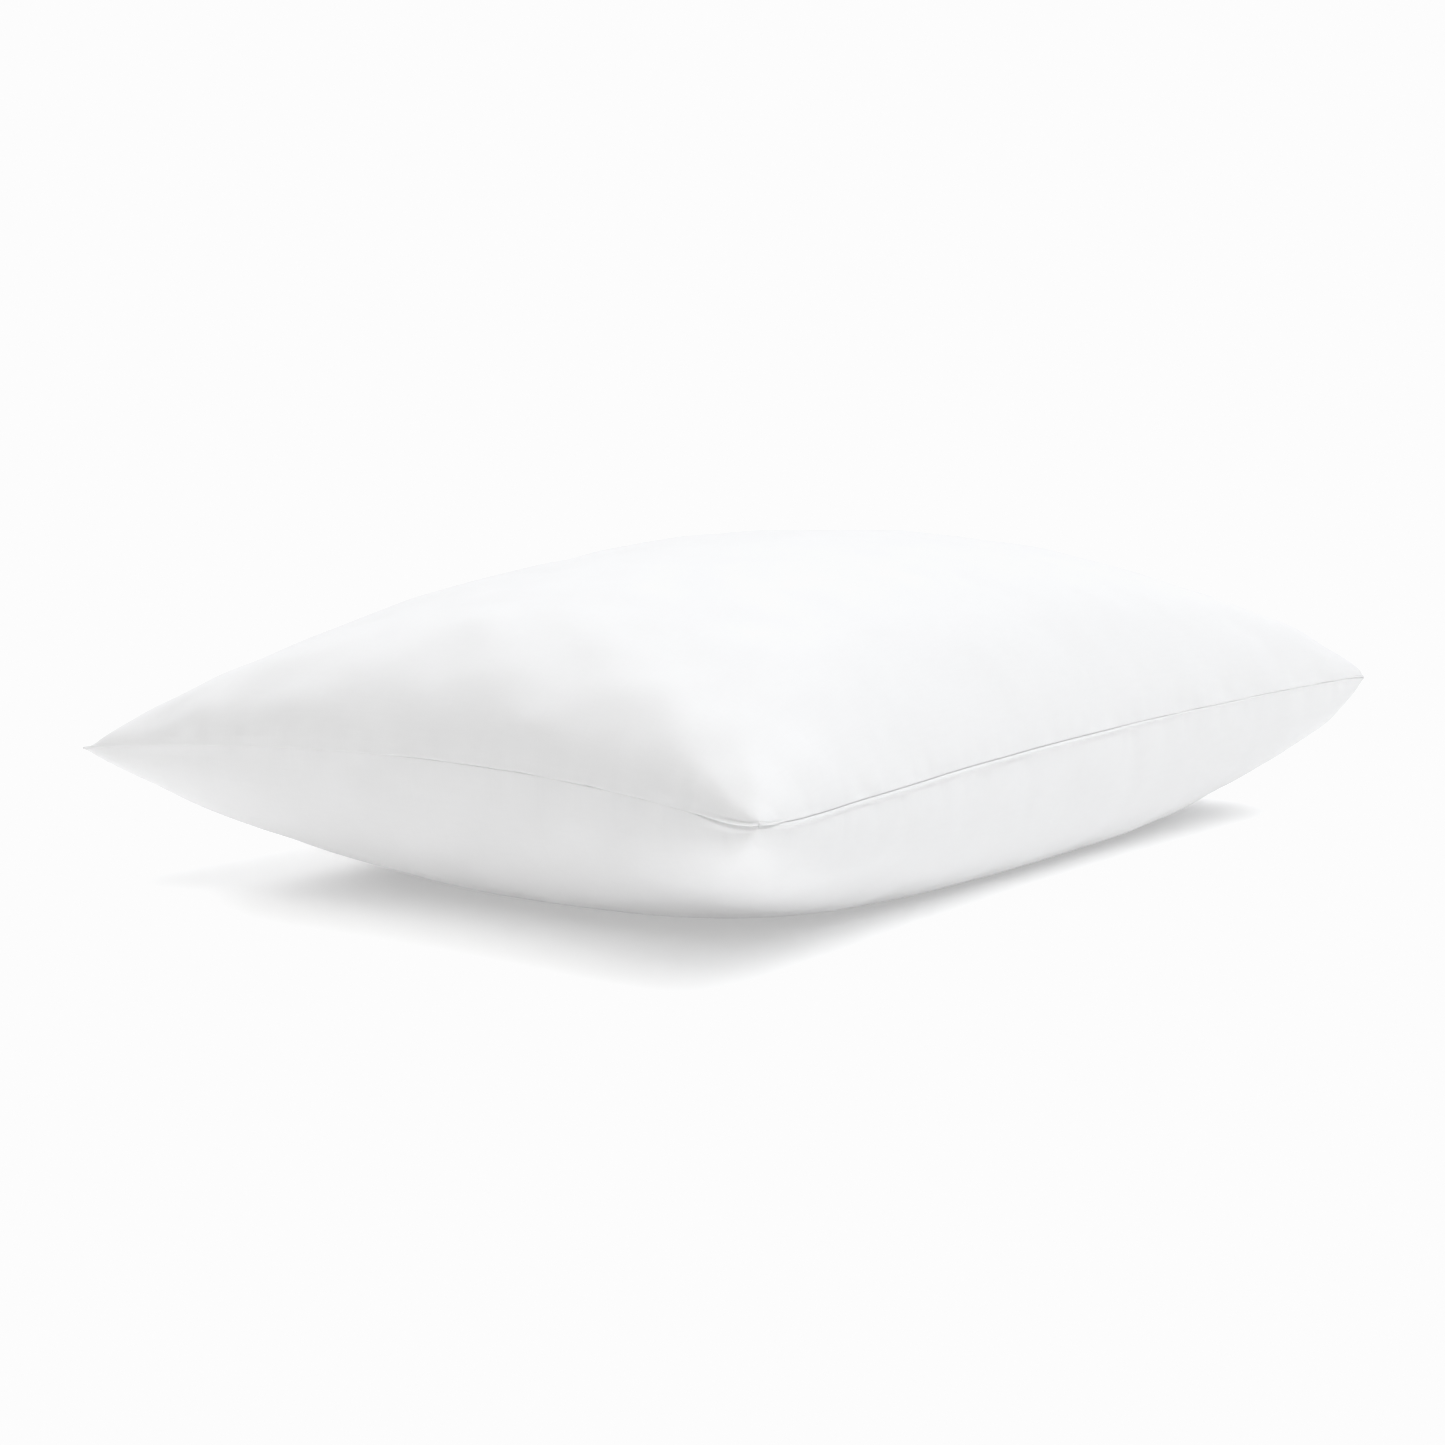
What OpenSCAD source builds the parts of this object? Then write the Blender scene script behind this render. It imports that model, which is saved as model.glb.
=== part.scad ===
// Bed pillow, queen size: two woven cotton panels sewn together all round,
// filled with a stack of carded fibre plies and closed along one short end.
// +Z is up, X runs along the pillow's length, and the origin is the middle of
// the patch that it rests on. The end that was sewn shut last is at +X.

/* [Ticking] */
// Finished length of the flat casing, seam to seam
casing_length = 762; // [600:1:920]
// Finished width of the flat casing, seam to seam
casing_width = 508; // [400:1:600]
// Thickness of the woven ticking
ticking_thickness = 0.6; // [0.4:0.1:0.8]
// Width of the seam allowance that is turned to the inside
seam_allowance = 10; // [6:0.5:10]
// How far the plain seam stands out as a fine ridge
seam_ridge = 0.8; // [0.5:0.1:1.5]
// Width of the flat lip along the end that is closed after filling
closing_lip = 4; // [3:0.5:6]

/* [Filled shape] */
// Height of the seam above the floor at the four corners
corner_height = 93; // [80:1:110]
// Height of the crown above the seam
crown_rise = 110; // [70:1:120]
// Depth the lower panel would reach below the seam with no floor under it
belly_drop = 136; // [125:1:150]
// How far the short ends draw in between the corners
end_pull_in = 33; // [15:1:45]
// How far the long sides draw in between the corners
side_pull_in = 20; // [10:1:35]
// How much the seam climbs at the middle of each short end
end_seam_climb = 11; // [0:1:16]
// How much the seam climbs at the middle of each long side
side_seam_climb = 2; // [0:1:8]

/* [Filling] */
// Gap left between one carded ply and the next
ply_gap = 0.4; // [0.2:0.1:1.0]
// Clearance between the stack of plies and the ticking
fill_clearance = 0.4; // [0.3:0.1:1.0]

/* [Sewing] */
// Diameter of the sewing thread
thread_d = 0.5; // [0.3:0.1:0.7]
// Visible length of one closing stitch
stitch_length = 2.9; // [2:0.1:3.2]
// Distance of the closing stitches from the edge of the lip
stitch_inset = 2; // [1.5:0.1:2.5]
// How far the overedge thread reaches over each face of the seam allowance
overedge_reach = 4; // [3:0.5:5]

/* [Care label] */
// Width of the label along the seam
label_width = 36; // [20:1:38]
// Length of the label below the seam
label_length = 52; // [30:1:60]
// Thickness of the label tape
label_thickness = 0.3; // [0.2:0.05:0.4]
// Length of label tape that is caught inside the seam
label_tab_depth = 9; // [6:1:12]

/* [Hidden] */
ply_count = 5;

half_length = casing_length / 2;
half_width = casing_width / 2;
// Half of the gap between the two panels at the seam, where the label is caught
half_gap = label_thickness / 2 + 0.05;
// The panels' outer faces stand this far above and below the middle of the seam
seam_half = half_gap + ticking_thickness;
// Height over which the belly rounds out of its flat patch
contact_blend = 6;
// Powers that make the panels leave the seam steeply and crown gently
crown_power = 0.45;
belly_power = 0.40;

// A panel's rings of points, from the middle to the seam, closer near the seam
ring_count = 10;
// The plies stop at this ring, clear of the seam allowance
ply_rings = 8;
// Straight pieces along each edge; the odd number puts a level one mid-end
end_steps = 13;
side_steps = 20;

thread_clearance = 0.05;
overedge_thickness = 0.3;
stitches_per_step = 9;
// Play between the label's fold line and the edge of the lip
label_play = 0.45;
label_tab_overhang = 0.1;

// Unit outline of the casing, anticlockwise from the corner at -X -Y
near_side = [for (i = [0 : side_steps]) [-1 + 2 * i / side_steps, -1]];
closed_end = [for (i = [0 : end_steps]) [1, -1 + 2 * i / end_steps]];
far_side = [for (p = near_side) [-p[0], 1]];
near_end = [for (p = closed_end) [-1, -p[1]]];
function all_but_last(list) = [for (i = [0 : len(list) - 2]) list[i]];
function reversed(list) = [for (i = [len(list) - 1 : -1 : 0]) list[i]];
outline = concat(all_but_last(near_side), all_but_last(closed_end),
                 all_but_last(far_side), all_but_last(near_end));

function ring_share(i) = sin(90 * i / ring_count);

// Height of the middle of the seam, carried across the whole pillow
function seam_z(u, v) =
    corner_height
    + end_seam_climb * (1 - v * v) * (1 + u * u) / 2
    + side_seam_climb * (1 - u * u) * (1 + v * v) / 2;

// A point of the casing in plan, inset from its edge by d. u and v run from -1
// at one edge to 1 at the other
function plan(u, v, d) = [
    u * (half_length - d - end_pull_in * (1 - v * v)),
    v * (half_width - d - side_pull_in * (1 - u * u))];

// 1 at the middle of the pillow and 0 all along the seam
function fullness(u, v) = (1 - u * u) * (1 - v * v);

// 0 below the floor, h well above it, and a smooth bend between the two
function rounded_floor(h) =
    h <= -contact_blend ? 0
    : h >= contact_blend ? h
    : pow(h + contact_blend, 2) / (4 * contact_blend);

// side is 1 for the upper panel and -1 for the lower one
function edge_z(u, v, side) = seam_z(u, v) + side * seam_half;
function outer_z(u, v, side) =
    side > 0
    ? edge_z(u, v, side) + crown_rise * pow(fullness(u, v), crown_power)
    : rounded_floor(edge_z(u, v, side) - belly_drop * pow(fullness(u, v), belly_power));
function inner_z(u, v, side) =
    let (outside = outer_z(u, v, side), edge = edge_z(u, v, side))
    outside + (edge - outside) * ticking_thickness / (side > 0 ? crown_rise : edge);

// The ring of points at share r of the way out and inset d. levels holds one
// height for each point of the outline
function ring(r, d, levels) =
    [for (j = [0 : len(outline) - 1]) [each plan(r * outline[j][0], r * outline[j][1], d), levels[j]]];
function outer_levels(r, side) = [for (p = outline) outer_z(r * p[0], r * p[1], side)];
function inner_levels(r, side) = [for (p = outline) inner_z(r * p[0], r * p[1], side)];
function seam_levels(offset) = [for (p = outline) seam_z(p[0], p[1]) + offset];

// How far the panels' edge stands out: a fine ridge at a plain seam, and a flat
// lip at the closed end that fades out in the last step before each corner
function edge_width(p) =
    p[0] < 1 ? seam_ridge
    : seam_ridge + (closing_lip - seam_ridge) * min(1, (1 - abs(p[1])) * end_steps / 2);
function ridge_ring(offset) =
    [for (p = outline) [each plan(p[0], p[1], -edge_width(p)), seam_z(p[0], p[1]) + offset]];

// Closed solid over a list of rings, with a tip at each end of the list. The
// first half of the rings goes out and the second half comes back, and both
// split their four-sided facets along the same diagonal, so that two walls lie
// parallel
module ring_solid(first_tip, rings, last_tip) {
    m = len(rings[0]);
    n = len(rings);
    points = [first_tip, each [for (points_of_ring = rings) each points_of_ring], last_tip];
    last = len(points) - 1;
    faces = [
        for (j = [0 : m - 1]) [0, 1 + (j + 1) % m, 1 + j],
        for (i = [0 : n - 2], j = [0 : m - 1])
            let (a = 1 + i * m, b = a + m, k = (j + 1) % m)
            each i < n / 2
                ? [[a + j, a + k, b + k], [a + j, b + k, b + j]]
                : [[a + j, a + k, b + j], [a + k, b + k, b + j]],
        for (j = [0 : m - 1]) [last, last - m + j, last - m + (j + 1) % m]];
    polyhedron(points, faces);
}

// One panel of ticking, as a closed sheet: over the outside, round the ridge,
// back along the turned-in allowance and up the inside
module panel(side) {
    outer = [for (i = [1 : ring_count]) ring(ring_share(i), 0, outer_levels(ring_share(i), side))];
    inner = [for (i = [ring_count : -1 : 1])
        ring(ring_share(i), ticking_thickness, inner_levels(ring_share(i), side))];
    hem = [
        ridge_ring(side * seam_half),
        ridge_ring(side * half_gap),
        ring(1, seam_allowance, seam_levels(side * half_gap)),
        ring(1, seam_allowance, seam_levels(side * seam_half))];
    rings = concat(outer, hem, inner);
    outer_tip = [0, 0, outer_z(0, 0, side)];
    inner_tip = [0, 0, inner_z(0, 0, side)];
    if (side > 0) ring_solid(outer_tip, rings, inner_tip);
    else ring_solid(inner_tip, reversed(rings), outer_tip);
}

module top_panel() {
    color([0.95, 0.95, 0.95]) panel(1);
}

module bottom_panel() {
    color([0.90, 0.90, 0.91]) panel(-1);
}

// Height at a share of the way from the lower lining face to the upper one
function fill_level(u, v, share) =
    let (low = inner_z(u, v, -1) + fill_clearance, high = inner_z(u, v, 1) - fill_clearance)
    low + (high - low) * share;
function fill_levels(r, share, offset) =
    [for (p = outline) fill_level(r * p[0], r * p[1], share) + offset];

// One ply of carded fibre, counted from the floor up
module fill_ply(number) {
    inset = ticking_thickness + fill_clearance;
    low_share = (number - 1) / ply_count;
    high_share = number / ply_count;
    upper = [for (i = [1 : ply_rings])
        ring(ring_share(i), inset, fill_levels(ring_share(i), high_share, -ply_gap / 2))];
    lower = [for (i = [ply_rings : -1 : 1])
        ring(ring_share(i), inset, fill_levels(ring_share(i), low_share, ply_gap / 2))];
    color([0.98, 0.98, 0.96])
    ring_solid([0, 0, fill_level(0, 0, high_share) - ply_gap / 2],
               concat(upper, lower),
               [0, 0, fill_level(0, 0, low_share) + ply_gap / 2]);
}

// A point on one edge of the casing, inset by d and raised by offset. place
// counts steps along the edge, and between two steps it follows the straight
// piece that joins them
function edge_point(edge, place, d, offset) =
    let (i = min(floor(place), len(edge) - 2), share = place - i)
    let (a = edge[i], b = edge[i + 1])
    let (from = [each plan(a[0], a[1], d), seam_z(a[0], a[1]) + offset])
    let (to = [each plan(b[0], b[1], d), seam_z(b[0], b[1]) + offset])
    from + (to - from) * share;

// Overedge thread that binds the two raw edges of one seam together, as a
// U-shaped strip from half a step after one corner to half a step before the next
module overedge(edge) {
    inside = seam_half + thread_clearance;
    outside = inside + overedge_thickness;
    web = seam_allowance + thread_clearance;
    section = [
        [seam_allowance - overedge_reach, inside], [seam_allowance - overedge_reach, outside],
        [web + overedge_thickness, outside], [web + overedge_thickness, -outside],
        [seam_allowance - overedge_reach, -outside], [seam_allowance - overedge_reach, -inside],
        [web, -inside], [web, inside]];
    steps = len(edge) - 1;
    places = [0.5, each [1 : steps - 1], steps - 0.5];
    m = len(section);
    n = len(places);
    points = [for (place = places, s = section) edge_point(edge, place, s[0], s[1])];
    // The U is capped at both ends as its two legs and its web
    cap = [[0, 1, 2, 7], [7, 2, 3, 6], [6, 3, 4, 5]];
    faces = [
        for (quad = cap) each [[quad[0], quad[1], quad[2]], [quad[0], quad[2], quad[3]]],
        for (i = [0 : n - 2], j = [0 : m - 1]) let (a = i * m, b = a + m, k = (j + 1) % m)
            each [[a + j, b + k, a + k], [a + j, b + j, b + k]],
        for (quad = cap) let (a = (n - 1) * m)
            each [[a + quad[0], a + quad[2], a + quad[1]], [a + quad[0], a + quad[3], a + quad[2]]]];
    color([0.93, 0.93, 0.92]) polyhedron(points, faces);
}

module overedge_near_side() {
    overedge(near_side);
}

module overedge_far_side() {
    overedge(far_side);
}

module overedge_near_end() {
    overedge(near_end);
}

// The row of closing stitches on one face of the lip, each a short bar of thread
module closing_stitches(side) {
    height = side * (seam_half + thread_clearance + thread_d / 2);
    inset = stitch_inset - closing_lip;
    color([0.92, 0.92, 0.91])
    for (i = [1 : end_steps - 2], k = [0 : stitches_per_step - 1]) {
        from = edge_point(closed_end, i, inset, height);
        to = edge_point(closed_end, i + 1, inset, height);
        run = to - from;
        middle = from + run * (k + 0.5) / stitches_per_step;
        translate(middle)
        rotate([0, 0, atan2(run[1], run[0])])
        rotate([0, 90 - atan2(run[2], norm([run[0], run[1]])), 0])
        cylinder(h = stitch_length, d = thread_d, center = true, $fn = 16);
    }
}

module closing_stitches_top() {
    closing_stitches(1);
}

module closing_stitches_bottom() {
    closing_stitches(-1);
}

// The label's place: the level piece of the lip's edge in the middle of the closed end
label_step = (end_steps - 1) / 2;
lip_edge = edge_point(closed_end, label_step, -closing_lip, 0);
fold_x = lip_edge[0] + label_play;
fold_z = lip_edge[2];

// The end of the label tape that is caught between the two panels
module care_label_tab() {
    color([0.97, 0.97, 0.97])
    translate([lip_edge[0] - label_tab_depth, -label_width / 2, fold_z - label_thickness / 2])
    cube([label_tab_depth + label_tab_overhang, label_width, label_thickness]);
}

// The free end of the label, which hangs from its fold line and can be turned up
module care_label() {
    color([0.97, 0.97, 0.97])
    translate([fold_x - label_thickness / 2, -label_width / 2, fold_z - label_length])
    cube([label_thickness, label_width, label_length]);
}

top_panel();
bottom_panel();
fill_ply(1);  // fill_ply_1
fill_ply(2);  // fill_ply_2
fill_ply(3);  // fill_ply_3
fill_ply(4);  // fill_ply_4
fill_ply(5);  // fill_ply_5
overedge_near_side();
overedge_far_side();
overedge_near_end();
closing_stitches_top();
closing_stitches_bottom();
care_label_tab();
care_label();
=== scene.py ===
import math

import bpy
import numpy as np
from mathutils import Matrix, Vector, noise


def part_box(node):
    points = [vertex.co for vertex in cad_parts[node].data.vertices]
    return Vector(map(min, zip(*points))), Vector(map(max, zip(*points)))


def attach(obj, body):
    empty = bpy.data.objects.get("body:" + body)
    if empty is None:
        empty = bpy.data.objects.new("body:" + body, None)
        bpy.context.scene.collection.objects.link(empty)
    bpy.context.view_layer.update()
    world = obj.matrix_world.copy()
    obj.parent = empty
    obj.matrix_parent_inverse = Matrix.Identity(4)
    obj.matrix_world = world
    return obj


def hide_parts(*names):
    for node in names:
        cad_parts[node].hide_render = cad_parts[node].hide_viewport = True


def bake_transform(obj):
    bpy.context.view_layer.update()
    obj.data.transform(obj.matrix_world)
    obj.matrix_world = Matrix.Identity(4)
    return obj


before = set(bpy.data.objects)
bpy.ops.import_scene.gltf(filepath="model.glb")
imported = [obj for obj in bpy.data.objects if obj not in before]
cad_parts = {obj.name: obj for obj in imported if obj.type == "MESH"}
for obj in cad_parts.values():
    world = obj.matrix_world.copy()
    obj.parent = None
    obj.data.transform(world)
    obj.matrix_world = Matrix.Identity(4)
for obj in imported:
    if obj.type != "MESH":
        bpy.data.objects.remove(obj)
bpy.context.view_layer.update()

# A plump bed pillow in plain white ticking. The casing's two panels keep the shape of the
# CAD panels and take their folds from one simulated cloth shell. The plies of filling,
# the sewing threads and the care label are rebuilt inside and around that casing.
# Every length is in metres, unless its comment says otherwise.

MM = 0.001

# --- Sizes that the looks share with the CAD panels ---------------------------------

SEAM_RIDGE = 0.8 * MM
HALF_GAP = 0.2 * MM
SEAM_HALF = 0.8 * MM
CLOSING_LIP = 4 * MM
END_PULL_IN = 33 * MM
SIDE_PULL_IN = 20 * MM
END_SEAM_CLIMB = 11 * MM
SIDE_SEAM_CLIMB = 2 * MM
BELLY_DROP = 136 * MM
CONTACT_BLEND = 6 * MM
CROWN_POWER = 0.45
BELLY_POWER = 0.40

panel_low, panel_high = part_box("top_panel")
HALF_LENGTH = -panel_low.x - SEAM_RIDGE
HALF_WIDTH = -panel_low.y - SEAM_RIDGE
CORNER_HEIGHT = panel_low.z - HALF_GAP
MID_SEAM_HEIGHT = CORNER_HEIGHT + (END_SEAM_CLIMB + SIDE_SEAM_CLIMB) / 2
CROWN_RISE = panel_high.z - MID_SEAM_HEIGHT - SEAM_HALF

# --- Sizes of the looks alone -------------------------------------------------------

CLOTH_THICKNESS = 0.5 * MM
# Shares by which the settled filling makes the crown and the belly fuller towards +X
# and towards +Y (below 0: towards -X and -Y), and the belly fuller at both of its ends
CROWN_LEAN_X = -0.03
CROWN_LEAN_Y = -0.03
BELLY_LEAN_X = 0.07
BELLY_LEAN_Y = 0.01
BELLY_ENDS = 0.07
# Share and greatest depth of the simulated folds that a firm filling leaves, and the
# smoothing steps that part them from the broad shape and from the finest creases
FOLD_SHARE = 0.4
FOLD_CAP = 2.5 * MM
BROAD_STEPS = 36
FINE_STEPS = 2
# Cells of the simulated cloth along the casing's length and across its width, the
# cloth's frames, and the height below which it is held to the floor
CELLS_ALONG = 116
CELLS_ACROSS = 80
CLOTH_FRAMES = 20
HELD_BELOW = 0.5 * MM
# Signs of x and y at each corner, how far its seam draws it in (below 0: out) and lifts
# it (below 0: lowers it), and how sharply both are gone away from the corner
CORNERS = ((-1, -1), (1, -1), (1, 1), (-1, 1))
CORNER_POWER = 14
CORNER_IN = (7 * MM, 6 * MM, 4 * MM, -5 * MM)
CORNER_LIFT = (5 * MM, -3 * MM, -1 * MM, -1.8 * MM)
# How far from the corner at -X -Y the upper panel laps over the lower one: full up to
# the first distance and gone at the second one, along the end and along the side
LAP_ALONG_END = (26 * MM, 64 * MM)
LAP_ALONG_SIDE = (4 * MM, 32 * MM)
# By that lap, how far the cloth of each panel (side 1 or -1) moves outwards and downwards,
# in mm, and the distances from the seam between which the move fades
LAP_OUT = {1: (1.6, 5 * MM, 50 * MM), -1: (-2.4, 8 * MM, 48 * MM)}
LAP_DOWN = {1: (0.3, 5 * MM, 30 * MM), -1: (2.2, 4 * MM, 30 * MM)}
# Lumps of filling: height, size along x, y and z, and fade towards the seam
COARSE_LUMP = 1.8 * MM
COARSE_LUMP_SIZE = (80 * MM, 60 * MM, 80 * MM)
FINE_LUMP = 1.1 * MM
FINE_LUMP_SIZE = (36 * MM, 34 * MM, 45 * MM)
LUMP_FADE = (4 * MM, 34 * MM)
# Puckers at the seam's stitches: height, size along the seam and across it, and fade
# away from the seam. All of them start from nothing at the seam itself.
FINE_PUCKER = 2.7 * MM
FINE_PUCKER_SIZE = (11 * MM, 60 * MM)
FINE_PUCKER_FADE = (3 * MM, 26 * MM)
BROAD_PUCKER = 1.5 * MM
BROAD_PUCKER_SIZE = (26 * MM, 120 * MM)
BROAD_PUCKER_FADE = (8 * MM, 90 * MM)
PUCKER_START = 6 * MM
# Folds drawn from the corners: height, length, how many to a radian, and the distances
# from the corner between which they start and fade
DRAWN_FOLD = 1.5 * MM
DRAWN_FOLD_LENGTH = 220 * MM
DRAWN_FOLDS_PER_RADIAN = 3.4
DRAWN_FOLD_START = (12 * MM, 60 * MM)
DRAWN_FOLD_FADE = (40 * MM, 190 * MM)
# Heights between which the relief of the belly starts, above the patch on the floor
BELLY_RELIEF_START = (1 * MM, 12 * MM)
PLY_COUNT = 5
PLY_GAP = 0.4 * MM
PLY_BULGE = 1.5 * MM
PLY_CLEARANCE = CLOTH_THICKNESS + 1.2 * MM
# Shares of the casing's length and width that a ply keeps
PLY_SHRINK = (0.994, 0.992, 1)


def at_corners(u, v, values):
    """The value given for each corner, gone a short way from it."""
    nearness = np.abs(u * v) ** CORNER_POWER
    return sum(value * nearness * ((u * sign_x > 0) & (v * sign_y > 0))
               for value, (sign_x, sign_y) in zip(values, CORNERS))


def seam_height(u, v):
    """Height of the seam, carried across the whole pillow. u and v run from -1 to 1."""
    return (CORNER_HEIGHT + at_corners(u, v, CORNER_LIFT)
            + END_SEAM_CLIMB * (1 - v * v) * (1 + u * u) / 2
            + SIDE_SEAM_CLIMB * (1 - u * u) * (1 + v * v) / 2)


def plan(u, v):
    """Where a point of the casing lies in plan, once the filling draws its edges in."""
    drawn_in = at_corners(u, v, CORNER_IN)
    x = u * (HALF_LENGTH - END_PULL_IN * (1 - v * v) - drawn_in)
    y = v * (HALF_WIDTH - SIDE_PULL_IN * (1 - u * u) - drawn_in)
    return x, y


def rounded_floor(height):
    """Height above the floor, with a smooth bend where the belly starts to lie flat."""
    bend = (height + CONTACT_BLEND) ** 2 / (4 * CONTACT_BLEND)
    above = np.where(height >= CONTACT_BLEND, height, bend)
    return np.where(height <= -CONTACT_BLEND, 0, above)


def panel_points(u, v, side):
    """Points of the upper panel (side 1) or the lower one (side -1)."""
    x, y = plan(u, v)
    fullness = np.clip((1 - u * u) * (1 - v * v), 0, 1)
    seam = seam_height(u, v)
    if side > 0:
        lean = 1 + CROWN_LEAN_X * u + CROWN_LEAN_Y * v
        z = seam + CROWN_RISE * lean * fullness ** CROWN_POWER
    else:
        lean = 1 + BELLY_LEAN_X * u + BELLY_LEAN_Y * v + BELLY_ENDS * u * u
        z = rounded_floor(seam - BELLY_DROP * lean * fullness ** BELLY_POWER)
    return np.stack([x, y, z], axis=-1)


def even_shares(half_run, cells):
    """Values from -1 to 1 that lie evenly along the crown's line over half_run."""
    samples = 4001
    t = np.linspace(-1, 1, samples)
    rise = CROWN_RISE * (1 - t * t) ** CROWN_POWER
    steps = np.hypot(np.diff(t * half_run), np.diff(rise))
    length = np.concatenate([[0], np.cumsum(steps)])
    return np.interp(np.linspace(0, length[-1], cells + 1), length, t)


def seam_indices(rows, columns):
    """Grid indices of the seam, once round, anticlockwise from the corner at -X -Y."""
    near = [(i, 0) for i in range(rows - 1)]
    closed = [(rows - 1, j) for j in range(columns - 1)]
    far = [(i, columns - 1) for i in range(rows - 1, 0, -1)]
    open_end = [(0, j) for j in range(columns - 1, 0, -1)]
    return tuple(np.array(near + closed + far + open_end).T)


# --- Mesh helpers -------------------------------------------------------------------


def make_object(name, points, faces, smooth=True):
    mesh = bpy.data.meshes.new(name)
    mesh.from_pydata([tuple(p) for p in points], [], faces)
    mesh.polygons.foreach_set("use_smooth", [smooth] * len(mesh.polygons))
    mesh.update()
    obj = bpy.data.objects.new(name, mesh)
    bpy.context.scene.collection.objects.link(obj)
    return obj


def apply_modifiers(obj):
    bpy.context.view_layer.update()
    graph = bpy.context.evaluated_depsgraph_get()
    applied = bpy.data.meshes.new_from_object(obj.evaluated_get(graph))
    obj.modifiers.clear()
    obj.data = applied
    applied.name = obj.name
    return obj


def set_attribute(obj, name, values):
    """Stores a vector for each point, which the weave's material reads."""
    attribute = obj.data.attributes.new(name, "FLOAT_VECTOR", "POINT")
    attribute.data.foreach_set("vector", np.asarray(values, np.float32).ravel())


def grid_faces(index, upward):
    a, b, c, d = index[:-1, :-1], index[1:, :-1], index[1:, 1:], index[:-1, 1:]
    order = (a, b, c, d) if upward else (a, d, c, b)
    return np.stack(order, axis=-1).reshape(-1, 4).tolist()


def ring_faces(first, second):
    """Four-sided faces between two closed rings of point indices."""
    return [[first[k], second[k], second[(k + 1) % len(first)], first[(k + 1) % len(first)]]
            for k in range(len(first))]


# --- Casing: one simulated shell ----------------------------------------------------


def casing_shell(u, v):
    """Both panels joined along the seam, as the cloth that is simulated."""
    top, bottom = panel_points(u, v, 1), panel_points(u, v, -1)
    rows, columns = u.shape
    top_index = np.arange(u.size).reshape(rows, columns)
    bottom_index = top_index.copy()
    inside = np.arange((rows - 2) * (columns - 2)).reshape(rows - 2, -1)
    bottom_index[1:-1, 1:-1] = u.size + inside
    points = np.concatenate([top.reshape(-1, 3), bottom[1:-1, 1:-1].reshape(-1, 3)])
    faces = grid_faces(top_index, True) + grid_faces(bottom_index, False)
    return points, faces, top_index, bottom_index


def weight_group(obj, name, weights):
    group = obj.vertex_groups.new(name=name)
    for index in np.nonzero(weights > 0)[0]:
        group.add([int(index)], float(weights[index]), "REPLACE")


def simulate(points, faces, seam_share, pinned):
    """Cloth under the filling's pressure, gathered a little along the seam's thread."""
    shell = make_object("casing_cloth", points, faces)
    weight_group(shell, "seam", seam_share)
    weight_group(shell, "held", pinned)
    cloth = shell.modifiers.new("Cloth", "CLOTH")
    settings = cloth.settings
    settings.quality = 6
    settings.mass = 0.15
    settings.tension_stiffness = 80
    settings.compression_stiffness = 80
    settings.shear_stiffness = 30
    settings.bending_stiffness = 8
    settings.use_pressure = True
    settings.uniform_pressure_force = 4
    settings.vertex_group_mass = "held"
    settings.vertex_group_shrink = "seam"
    settings.shrink_min = 0
    settings.shrink_max = 0.015
    settings.effector_weights.gravity = 0
    cloth.collision_settings.use_collision = False
    cloth.collision_settings.use_self_collision = False
    cloth.point_cache.frame_start = 1
    cloth.point_cache.frame_end = CLOTH_FRAMES
    scene = bpy.context.scene
    for number in range(1, CLOTH_FRAMES + 1):
        scene.frame_set(number)
    evaluated = shell.evaluated_get(bpy.context.evaluated_depsgraph_get())
    moved = np.zeros(len(points) * 3, np.float32)
    evaluated.data.vertices.foreach_get("co", moved)
    moved = moved.reshape(-1, 3).astype(float)
    bpy.data.objects.remove(shell)
    scene.frame_set(1)
    return moved - points


def smooth_step(grid, other, axis):
    """The grid smoothed along one axis. Over the seam it runs on into the other panel."""
    g, o = np.moveaxis(grid, axis, 0), np.moveaxis(other, axis, 0)
    padded = np.concatenate([o[1:2], g, o[-2:-1]])
    mixed = (padded[:-2] + 2 * padded[1:-1] + padded[2:]) / 4
    return np.moveaxis(mixed, 0, axis)


def smoothed(first, second, steps):
    for _ in range(steps):
        for axis in (0, 1):
            first, second = smooth_step(first, second, axis), smooth_step(second, first, axis)
    return first, second


def folds_only(top_shift, bottom_shift):
    """What is left of the cloth's shift without its smooth change of the whole shape."""
    top_broad, bottom_broad = smoothed(top_shift, bottom_shift, BROAD_STEPS)
    folds = smoothed(top_shift - top_broad, bottom_shift - bottom_broad, FINE_STEPS)
    capped = []
    for fold in folds:
        length = np.linalg.norm(fold, axis=-1, keepdims=True) * FOLD_SHARE
        capped.append(fold * FOLD_SHARE * np.minimum(1, FOLD_CAP / np.maximum(length, 1e-9)))
    return capped


def refined(grid):
    """The grid with a point added between each two along both axes, on a smooth curve."""
    for axis in (0, 1):
        g = np.moveaxis(grid, axis, 0)
        padded = np.concatenate([2 * g[:1] - g[1:2], g, 2 * g[-1:] - g[-2:-1]])
        fine = np.empty((2 * len(g) - 1, *g.shape[1:]))
        fine[0::2] = g
        fine[1::2] = (9 * (g[:-1] + g[1:]) - padded[:-3] - padded[3:]) / 16
        grid = np.moveaxis(fine, 0, axis)
    return grid


def run_from_edge(grid, axis):
    """Distance over the cloth from each point to the nearer edge along one axis."""
    steps = np.linalg.norm(np.diff(grid, axis=axis), axis=-1)
    run = np.insert(np.cumsum(steps, axis=axis), 0, 0, axis=axis)
    return np.minimum(run, run.take([-1], axis=axis) - run)


def normals(grid):
    """Upward unit normals of a grid of points."""
    n = np.cross(np.gradient(grid, axis=0), np.gradient(grid, axis=1))
    return n / np.maximum(np.linalg.norm(n, axis=-1, keepdims=True), 1e-12)


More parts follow.
